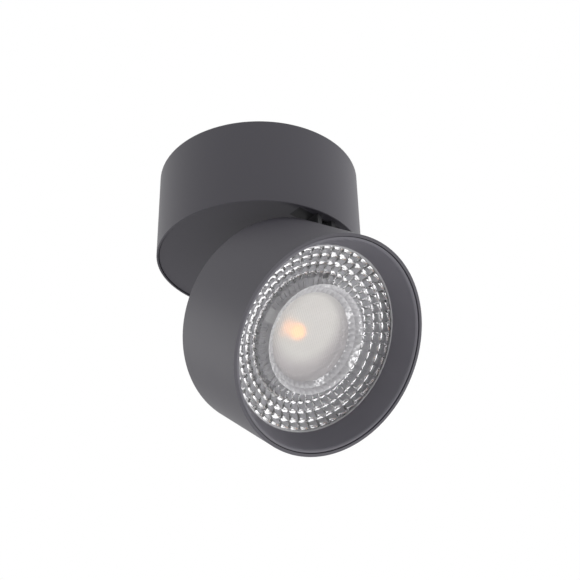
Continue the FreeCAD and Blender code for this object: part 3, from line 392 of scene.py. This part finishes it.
# %% Glow
GLOW_COLOUR = (1.0, 0.31, 0.03)
GLOW_STRENGTH = 1.4
GLOW_RADIUS = 4.4
GLOW_CORE = 0.4
UNLIT_COLOUR = (0.85, 0.80, 0.70)


def add_glow(material):
    tree = material.node_tree
    surface = tree.nodes["Principled BSDF"]
    across, along = head_coordinates(tree)[:2]
    distance = distance_from(tree, across, along)
    fade = smooth_step(tree, distance, GLOW_RADIUS * GLOW_CORE, GLOW_RADIUS, 1.0, 0.0)
    glow = mix_colour(tree, fade, (0, 0, 0, 1), (*GLOW_COLOUR, 1))
    warm = surface.inputs["Base Color"].links[0].from_socket
    feed(tree, surface.inputs["Emission Color"], glow)
    surface.inputs["Emission Strength"].default_value = GLOW_STRENGTH
    feed(tree, surface.inputs["Base Color"], mix_colour(tree, fade, (*UNLIT_COLOUR, 1), warm))


add_glow(finishes["phosphor"])
print("the lamp glows within", GLOW_RADIUS, "mm of its middle")

# %% [markdown]
# ### Dress the CAD pieces
# A CAD piece is never moved or changed. Only its material is set: its own where it has one,
# and otherwise the one that its record names.


# %% Give each CAD piece its finish
def dress(node, material):
    node.data.materials.clear()
    node.data.materials.append(material)


for part in frame["record"]["subparts"]:
    dress(nodes[part["node"]], coated.get(part["node"], finishes[part["material_slot"]]))

# %% [markdown]
# ## The lens
# The real lens is one clear moulding. Light from the small lamp behind it is turned forward
# by a cone of little facets in four rows. In its middle is a conical well with a window at
# its bottom, and behind the window a hollow for the lamp. The CAD lens has flat facets, so
# this one takes its place and fits within its sizes.

# %% Lens sizes, in millimetres from the front face along the axis
FACETS = 48
ROWS = 4
STEPS_PER_FACET = 9
FLANGE_RADIUS = 44.0
FLANGE_THICKNESS = 1.8
CONE_FRONT_RADIUS = 41.2
CONE_BACK_RADIUS = 26.3
ROW_HEIGHT = 2.225
CONE_HEIGHT = ROW_HEIGHT * ROWS
CONE_BOW_OUT = 0.3
CONE_BOW_BACK = 0.5
FACET_DOME = 1.15
SCALE_LIFT = 1.0
BEADS = 48
BEAD_ROWS = 2
STEPS_PER_BEAD = 9
BEAD_DOME = -0.45
WELL_TOP_RADIUS = 24.8
WELL_RADIUS = 20.2
WELL_DEPTH = 4.5
CAVITY_RADIUS = 20.0
CAVITY_TOP_RADIUS = 19.0
WINDOW_THICKNESS = 2.0
BULGE_RISE = 3.9
BULGE_STEPS = 12
print("the lens has", FACETS * ROWS, "facets and is", round(FLANGE_THICKNESS + CONE_HEIGHT, 2),
      "mm deep")

# %% [markdown]
# ### The rule of one facet
# Each facet bulges like a pillow. It also rises slowly toward the back and drops where the
# next one begins, like the scale of a fish. Both make the sparkle, and both follow from how
# far along its own cell a point is, so they are written as rules and not drawn.

# %% Shapes within one cell
CELL_START = 1e-4
ONE_FOR_ALL = 0.99999


def within_cell(tree, share, count):
    """How far along its own cell a point is, from nought to one.

    The small start keeps rounding from putting a border point into the cell before it.
    """
    return calc(tree, "FRACT", calc(tree, "ADD", calc(tree, "MULTIPLY", share, count), CELL_START))


def swell(tree, share, count):
    """4 f (1 - f) of the share of each cell: nought at its edges and one at its middle."""
    inside = within_cell(tree, share, count)
    return calc(tree, "MULTIPLY", calc(tree, "MULTIPLY", inside, 4.0),
                calc(tree, "SUBTRACT", 1.0, inside))


def fish_scale(tree, share, count, steps):
    """Rises slowly along a cell and drops in its last step."""
    inside = within_cell(tree, share, count)
    fall = calc(tree, "MULTIPLY", calc(tree, "SUBTRACT", 1.0, inside), steps)
    return calc(tree, "MINIMUM", inside, fall)


def facet_lift(tree, inputs, round_share, back_share):
    """How far each point stands off the smooth cone."""
    pillow = calc(tree, "MULTIPLY", swell(tree, round_share, inputs["Facets"]),
                  swell(tree, back_share, inputs["Rows"]))
    scale = fish_scale(tree, back_share, inputs["Rows"], inputs["Steps"])
    return calc(tree, "ADD", calc(tree, "MULTIPLY", pillow, inputs["Dome"]),
                calc(tree, "MULTIPLY", scale, inputs["Scale Lift"]))


print("each facet has", STEPS_PER_FACET, "steps each way")

# %% [markdown]
# ### The cone in Geometry Nodes
# A flat grid is rolled into a slightly bowed cone, and its points are pushed out by the
# rule of the facets. Modelling 192 facets by hand would be slow and uneven. The tree's
# named inputs let it make the ring of small beads around the window as well.


# %% Grid and roll
def cell_grid(tree, inputs):
    """A flat unit grid, and how far round and how far back each of its points is."""
    columns = calc(tree, "MULTIPLY", inputs["Facets"], inputs["Steps"])
    lines = calc(tree, "MULTIPLY", inputs["Rows"], inputs["Steps"])
    grid = add_node(tree, "GeometryNodeMeshGrid")
    feed(tree, grid.inputs["Size X"], 1.0)
    feed(tree, grid.inputs["Size Y"], 1.0)
    feed(tree, grid.inputs["Vertices X"], calc(tree, "ADD", columns, 1.0))
    feed(tree, grid.inputs["Vertices Y"], calc(tree, "ADD", lines, 1.0))
    position = add_node(tree, "ShaderNodeSeparateXYZ")
    feed(tree, position.inputs[0], add_node(tree, "GeometryNodeInputPosition").outputs[0])
    round_share = calc(tree, "ADD", position.outputs[0], 0.5)
    back_share = calc(tree, "ADD", position.outputs[1], 0.5)
    return grid.outputs["Mesh"], round_share, back_share


def rolled_up(tree, inputs, round_share, back_share):
    """The place of each point on the bowed cone, pushed square to its slope by the facets."""
    bow = swell(tree, back_share, ONE_FOR_ALL)
    drop = calc(tree, "SUBTRACT", inputs["Front Radius"], inputs["Back Radius"])
    radius = calc(tree, "SUBTRACT", inputs["Front Radius"],
                  calc(tree, "MULTIPLY", drop, back_share))
    radius = calc(tree, "ADD", radius, calc(tree, "MULTIPLY", bow, inputs["Bow Out"]))
    height = calc(tree, "ADD", calc(tree, "MULTIPLY", inputs["Height"], back_share),
                  calc(tree, "MULTIPLY", bow, inputs["Bow Back"]))
    slope = calc(tree, "ARCTAN2", inputs["Height"], drop)
    share_of_front = calc(tree, "DIVIDE", radius, inputs["Front Radius"])
    lift = facet_lift(tree, inputs, round_share, back_share)
    push = calc(tree, "MULTIPLY", lift, share_of_front)
    radius = calc(tree, "ADD", radius, calc(tree, "MULTIPLY", push, calc(tree, "SINE", slope)))
    height = calc(tree, "ADD", height, calc(tree, "MULTIPLY", push, calc(tree, "COSINE", slope)))
    angle = calc(tree, "MULTIPLY", round_share, math.tau)
    place = add_node(tree, "ShaderNodeCombineXYZ")
    feed(tree, place.inputs[0], calc(tree, "MULTIPLY", radius, calc(tree, "COSINE", angle)))
    feed(tree, place.inputs[1], calc(tree, "MULTIPLY", radius, calc(tree, "SINE", angle)))
    feed(tree, place.inputs[2], height)
    return place.outputs[0]


print("a grid can be rolled into a cone")

# %% [markdown]
# The tree itself only joins these steps: make the grid, move its points, and give the
# result a material.

# %% Facet cone tree
CONE_INPUTS = (
    ("Facets", "Int", FACETS), ("Rows", "Int", ROWS), ("Steps", "Int", STEPS_PER_FACET),
    ("Front Radius", "Float", 1.0), ("Back Radius", "Float", 0.5), ("Height", "Float", 1.0),
    ("Bow Out", "Float", 0.0), ("Bow Back", "Float", 0.0), ("Dome", "Float", 0.0),
    ("Scale Lift", "Float", 0.0), ("Material", "Material", None),
)


def cone_tree():
    tree = bpy.data.node_groups.new("facet_cone", "GeometryNodeTree")
    tree.is_modifier = True
    for name, kind, default in CONE_INPUTS:
        add_socket(tree, name, kind, default)
    add_socket(tree, "Geometry", "Geometry", output=True)
    inputs = add_node(tree, "NodeGroupInput").outputs
    mesh, round_share, back_share = cell_grid(tree, inputs)
    placed = add_node(tree, "GeometryNodeSetPosition")
    feed(tree, placed.inputs["Geometry"], mesh)
    feed(tree, placed.inputs["Position"], rolled_up(tree, inputs, round_share, back_share))
    real = add_node(tree, "GeometryNodeRealizeInstances")
    feed(tree, real.inputs[0], placed.outputs[0])
    painted = add_node(tree, "GeometryNodeSetMaterial")
    feed(tree, painted.inputs["Geometry"], real.outputs[0])
    feed(tree, painted.inputs["Material"], inputs["Material"])
    output = add_node(tree, "NodeGroupOutput")
    feed(tree, output.inputs["Geometry"], painted.outputs[0])
    return tree


cone = cone_tree()
print("the tree", cone.name, "has", len(cone.nodes), "nodes")

# %% [markdown]
# ### Clear, frosted and cloudy plastic
# Clear acrylic bends light by its index of refraction. A painted look of facets would stay
# the same from every side, but with real refraction they mirror the room by total
# reflection, just as the real ones do. The round window is etched and scatters part of the
# light. The flange and the ring of beads are a little cloudy.

# %% Lens plastics
ACRYLIC_INDEX = 1.49
FAINT_GRAIN = 0.5
FAINT_TONE = 0.02
CLEAR, FROSTED, CLOUDY = range(3)


def lens_plastic(name, colour, roughness, clearness):
    """Acrylic that lets a share of the light through and scatters the rest at its skin."""
    material, tree, surface = new_material(name)
    add_grain(tree, surface, colour, roughness, FAINT_GRAIN, FAINT_TONE)
    surface.inputs["IOR"].default_value = ACRYLIC_INDEX
    surface.inputs["Transmission Weight"].default_value = clearness
    return material


lens_finishes = (
    lens_plastic("clear_lens", (0.97, 0.97, 0.98), roughness=0.05, clearness=1.0),
    lens_plastic("frosted_window", (0.99, 0.96, 0.93), roughness=0.15, clearness=0.58),
    lens_plastic("cloudy_rim", (0.90, 0.89, 0.91), roughness=0.12, clearness=0.6),
)
print(len(lens_finishes), "lens plastics made")

# %% [markdown]
# The window has a very fine mesh of little lenses, too fine to model, so it is a bump. In
# the photograph it is also darker along one side, like a crescent. The form behind that
# could not be made out, so here the crescent is painted shade in the colour.

# %% Etched window and painted shade
MESH_PITCH = 1.5
MESH_HEIGHT = 0.03
# Painted shade: the window's colour darkens toward a crescent far from this centre.
SHADE_CENTRE = (-6.0, -6.0)
SHADE_START = 14.0
SHADE_END = 24.0
SHADE_COLOUR = (0.62, 0.59, 0.60)


def etch_window_and_paint_shade(material):
    """Raise one wave each way for the mesh, and paint shade onto what is far from the shade's centre."""
    tree = material.node_tree
    surface = tree.nodes["Principled BSDF"]
    across, along = head_coordinates(tree)[:2]
    turn = math.tau / MESH_PITCH
    waves = [calc(tree, "SINE", calc(tree, "MULTIPLY", place, turn)) for place in (across, along)]
    add_bump(tree, surface, calc(tree, "MULTIPLY", waves[0], waves[1]), MESH_HEIGHT)
    # The darker crescent mixed in below is painted shade in the colour, not a form of the window.
    middle = surface.inputs["Base Color"].links[0].from_socket
    distance = distance_from(tree, across, along, SHADE_CENTRE)
    shade = smooth_step(tree, distance, SHADE_START, SHADE_END, 0.0, 1.0)
    feed(tree, surface.inputs["Base Color"], mix_colour(tree, shade, middle, (*SHADE_COLOUR, 1)))


etch_window_and_paint_shade(lens_finishes[FROSTED])
print("the window's mesh repeats every", MESH_PITCH, "mm")

# %% [markdown]
# ### The domed surfaces
# The geometry tree's result becomes a plain mesh and joins the lens. Inside a cell it is
# smooth, and along the borders between cells it is creased. Without the creases the facets
# would run together like waves.


# %% Growing a domed cone
def grown_mesh(tree, **values):
    """The plain mesh that a geometry tree makes with these named inputs."""
    holder = bpy.data.objects.new("domed_cone", bpy.data.meshes.new("domed_cone"))
    bpy.context.scene.collection.objects.link(holder)
    modifier = holder.modifiers.new("domed_cone", "NODES")
    modifier.node_group = tree
    for item in tree.interface.items_tree:
        if item.in_out == "INPUT" and item.name in values:
            modifier[item.identifier] = values[item.name]
    graph = bpy.context.evaluated_depsgraph_get()
    mesh = bpy.data.meshes.new_from_object(holder.evaluated_get(graph))
    holder.modifiers.remove(modifier)
    bpy.data.objects.remove(holder)
    return mesh


def crease_borders(new_verts, rows, steps):
    """Crease the edges between cells.

    The grid's points run along each line from front to back, one line after another.
    """
    place = {vert: divmod(number, rows * steps + 1) for number, vert in enumerate(new_verts)}
    for edge in {edge for vert in new_verts for edge in vert.link_edges}:
        (column_a, row_a), (column_b, row_b) = (place[vert] for vert in edge.verts)
        on_column = column_a == column_b and column_a % steps == 0
        on_row = row_a == row_b and row_a % steps == 0
        edge.smooth = not (on_column or on_row)


def add_domed_cone(mesh, cells, start, slot, **values):
    """Grow a cone of domed cells and join it to the mesh from this height on."""
    columns, rows, steps = cells
    grown = grown_mesh(cone, Facets=columns, Rows=rows, Steps=steps,
                       Material=lens_finishes[slot], **values)
    first_vert, first_face = len(mesh.verts), len(mesh.faces)
    mesh.from_mesh(grown)
    mesh.verts.ensure_lookup_table()
    mesh.faces.ensure_lookup_table()
    new_verts = mesh.verts[first_vert:]
    crease_borders(new_verts, rows, steps)
    for face in mesh.faces[first_face:]:
        face.material_index = slot
    bmesh.ops.translate(mesh, vec=(0, 0, start), verts=new_verts)


print("a domed cone can join the lens")

# %% [markdown]
# The beads are the same cells, only smaller and hollow: their dome is negative.


# %% Facets and beads
def add_facets_and_beads(mesh):
    facets = {
        "Front Radius": CONE_FRONT_RADIUS, "Back Radius": CONE_BACK_RADIUS,
        "Height": CONE_HEIGHT, "Bow Out": CONE_BOW_OUT, "Bow Back": CONE_BOW_BACK,
        "Dome": FACET_DOME, "Scale Lift": SCALE_LIFT,
    }
    beads = {
        "Front Radius": WELL_TOP_RADIUS, "Back Radius": WELL_RADIUS,
        "Height": WELL_DEPTH, "Dome": BEAD_DOME,
    }
    add_domed_cone(mesh, (FACETS, ROWS, STEPS_PER_FACET), FLANGE_THICKNESS, CLEAR, **facets)
    add_domed_cone(mesh, (BEADS, BEAD_ROWS, STEPS_PER_BEAD), 0, CLOUDY, **beads)


print("facets stand out by", FACET_DOME, "mm and beads are hollowed by", -BEAD_DOME, "mm")

# %% [markdown]
# ### The turned surfaces
# All of the lens that isn't facets or beads is round. A Screw modifier could sweep it, but
# these surfaces have to meet the domed cones point for point. So each outline of radius and
# height is swept here in as many columns as the cones have steps.


# %% Turning an outline
def turned_faces(mesh, profile, columns):
    """Add the surface swept by a (radius, height) outline, from its first point to its last."""
    rings = []
    for radius, height in profile:
        if radius == 0:
            rings.append([mesh.verts.new((0, 0, height))])
            continue
        rings.append([
            mesh.verts.new((radius * math.cos(math.tau * column / columns),
                            radius * math.sin(math.tau * column / columns), height))
            for column in range(columns)
        ])
    faces = []
    for near, far in zip(rings, rings[1:]):
        for column in range(columns):
            following = (column + 1) % columns
            corners = [near[column % len(near)], near[following % len(near)],
                       far[following % len(far)], far[column % len(far)]]
            faces.append(mesh.faces.new(list(dict.fromkeys(corners))))
    return faces


def bulge_outline(rim, level):
    """The domed back of the window, from its rim to the axis, as an arc of a circle."""
    radius = (rim ** 2 + BULGE_RISE ** 2) / (2 * BULGE_RISE)
    spread = math.asin(rim / radius)
    centre = level + BULGE_RISE - radius
    angles = [spread * (1 - step / BULGE_STEPS) for step in range(BULGE_STEPS)]
    arc = [(radius * math.sin(angle), centre + radius * math.cos(angle)) for angle in angles]
    return arc + [(0, level + BULGE_RISE)]


def add_turned_surfaces(mesh):
    columns = FACETS * STEPS_PER_FACET
    back = FLANGE_THICKNESS + CONE_HEIGHT
    window = [(0, WELL_DEPTH), (WELL_RADIUS, WELL_DEPTH)]
    front = [(WELL_TOP_RADIUS, 0), (CONE_FRONT_RADIUS, 0)]
    flange = [(CONE_FRONT_RADIUS, 0), (FLANGE_RADIUS, 0), (FLANGE_RADIUS, FLANGE_THICKNESS),
              (CONE_FRONT_RADIUS, FLANGE_THICKNESS)]
    hollow = [(CONE_BACK_RADIUS, back), (CAVITY_RADIUS, back)]
    hollow += bulge_outline(CAVITY_TOP_RADIUS, WELL_DEPTH + WINDOW_THICKNESS)
    for outline, slot in ((window, FROSTED), (front, CLEAR), (flange, CLOUDY), (hollow, CLEAR)):
        for face in turned_faces(mesh, outline, columns):
            face.material_index = slot


print("the window is", WINDOW_THICKNESS, "mm thick at its rim")

# %% [markdown]
# ### One closed body
# The surfaces are joined where they meet, and the normals are turned outward. Refraction
# needs both, because light has to know when it enters and when it leaves the plastic. The
# lens is built in millimetres on its own axis and is moved to its seat in the head last.

# %% Lens piece
HEAD_LENGTH = 44.4
LENS_DEPTH = 12.2
MERGE_DISTANCE = 1e-3
SHARP_ANGLE = math.radians(30)


def smooth_but_sharp_edges(mesh):
    """Smooth everywhere, but keep the creases and every edge beyond the sharp angle."""
    for face in mesh.faces:
        face.smooth = True
    for edge in mesh.edges:
        if edge.calc_face_angle(0) > SHARP_ANGLE:
            edge.smooth = False


def lens_piece():
    mesh = bmesh.new()
    add_facets_and_beads(mesh)
    add_turned_surfaces(mesh)
    bmesh.ops.remove_doubles(mesh, verts=mesh.verts, dist=MERGE_DISTANCE)
    bmesh.ops.recalc_face_normals(mesh, faces=mesh.faces)
    open_edges = sum(1 for edge in mesh.edges if not edge.is_manifold)
    smooth_but_sharp_edges(mesh)
    seat = HEAD_PLACE @ Matrix.Translation((0, 0, (LENS_DEPTH - HEAD_LENGTH) * MM))
    bmesh.ops.transform(mesh, matrix=seat @ Matrix.Scale(MM, 4), verts=mesh.verts)
    data = bpy.data.meshes.new("clear_lens")
    mesh.to_mesh(data)
    mesh.free()
    for material in lens_finishes:
        data.materials.append(material)
    piece = bpy.data.objects.new("clear_lens", data)
    bpy.context.scene.collection.objects.link(piece)
    print("lens:", len(data.polygons), "faces,", open_edges, "open edges")
    return piece


lens = lens_piece()
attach(lens, "head")
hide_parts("lens")

# %% [markdown]
# ## Floor
# A pale floor lies far below the light. The photograph's camera looks up and never sees it,
# but it is a plain ground for views from above. Seen from below it is see-through, so it
# hides nothing from a camera that stands under it.

# %% Floor
FLOOR_LEVEL = -1.40
FLOOR_SIZE = 12.0
FLOOR_COLOUR = (0.9, 0.9, 0.9)
FLOOR_ROUGHNESS = 0.9


def floor_material():
    material, tree, surface = new_material("pale_floor")
    add_grain(tree, surface, FLOOR_COLOUR, FLOOR_ROUGHNESS, FAINT_GRAIN, FAINT_TONE)
    see_through = add_node(tree, "ShaderNodeBsdfTransparent")
    choice = add_node(tree, "ShaderNodeMixShader")
    behind = add_node(tree, "ShaderNodeNewGeometry").outputs["Backfacing"]
    feed(tree, choice.inputs[0], behind)
    feed(tree, choice.inputs[1], surface.outputs[0])
    feed(tree, choice.inputs[2], see_through.outputs[0])
    tree.links.new(choice.outputs[0], tree.nodes["Material Output"].inputs["Surface"])
    return material


def make_floor():
    mesh = bpy.data.meshes.new("floor")
    half = FLOOR_SIZE / 2
    corners = [(-half, -half, FLOOR_LEVEL), (half, -half, FLOOR_LEVEL),
               (half, half, FLOOR_LEVEL), (-half, half, FLOOR_LEVEL)]
    mesh.from_pydata(corners, [], [(0, 1, 2, 3)])
    floor = bpy.data.objects.new("floor", mesh)
    bpy.context.scene.collection.objects.link(floor)
    mesh.materials.append(floor_material())
    return floor


floor = make_floor()
print("the floor lies", -FLOOR_LEVEL, "m below the ceiling face")

# %% [markdown]
# ## Light
# The photograph has a plain white surround. A white room gives that without any walls. It
# is fully white to the camera, in mirrors and through glass, but lights the object by about
# two thirds of that, so the dark paint stays dark.

# %% Room light
ROOM_LIGHT = 0.68


def make_room():
    world = bpy.data.worlds.new("white_room")
    bpy.context.scene.world = world
    world.use_nodes = True
    tree = world.node_tree
    tree.nodes.clear()
    background = add_node(tree, "ShaderNodeBackground")
    path = add_node(tree, "ShaderNodeLightPath").outputs
    seen = calc(tree, "MAXIMUM", path["Is Camera Ray"],
                calc(tree, "MAXIMUM", path["Is Glossy Ray"], path["Is Transmission Ray"]))
    strength = calc(tree, "ADD", ROOM_LIGHT, calc(tree, "MULTIPLY", seen, 1 - ROOM_LIGHT))
    feed(tree, background.inputs["Color"], (1, 1, 1, 1))
    feed(tree, background.inputs["Strength"], strength)
    output = add_node(tree, "ShaderNodeOutputWorld")
    tree.links.new(background.outputs[0], output.inputs["Surface"])


make_room()
print("the room lights the object at", ROOM_LIGHT)

# %% [markdown]
# Four round soft lamps add what an even room lacks. One at the left and one at the right
# make the round sides lighter toward their edges. A large one in front brightens the face
# and is mirrored by the facets, and a faint one below lifts the undersides. A single strong
# lamp would throw hard shadows that the photograph doesn't have. The side lamps are placed
# by the camera's right and by the level direction in which it looks.

# %% Soft lamps
LAMP_AIM = Vector((0, 0, -0.08))
TO_THE_RIGHT = CAMERA_RIGHT.normalized()
CAMERA_AHEAD = Vector((0.6839, 0.7296, 0))


def soft_lamp(name, place, width, watts):
    data = bpy.data.lights.new(name, "AREA")
    data.shape = "DISK"
    data.size = width
    data.energy = watts
    lamp = bpy.data.objects.new(name, data)
    bpy.context.scene.collection.objects.link(lamp)
    lamp.location = place
    lamp.rotation_mode = "QUATERNION"
    lamp.rotation_quaternion = (LAMP_AIM - lamp.location).to_track_quat("-Z", "Y")
    print(name, "is", width, "m wide and has", watts, "W")


soft_lamp("left_lamp", CAMERA_AHEAD * 0.3 - TO_THE_RIGHT, width=0.8, watts=2.0)
soft_lamp("right_lamp", CAMERA_AHEAD * 0.5 + TO_THE_RIGHT, width=0.6, watts=4.0)
soft_lamp("front_lamp", Vector((0.70, -0.83, -0.66)), width=2.2, watts=7.5)
soft_lamp("low_lamp", Vector((0.05, -0.10, -0.50)), width=0.8, watts=1.0)

# %% [markdown]
# ## Last settings
# The picture keeps plain colours.

# %% Finish
bpy.context.scene.view_settings.view_transform = "Standard"
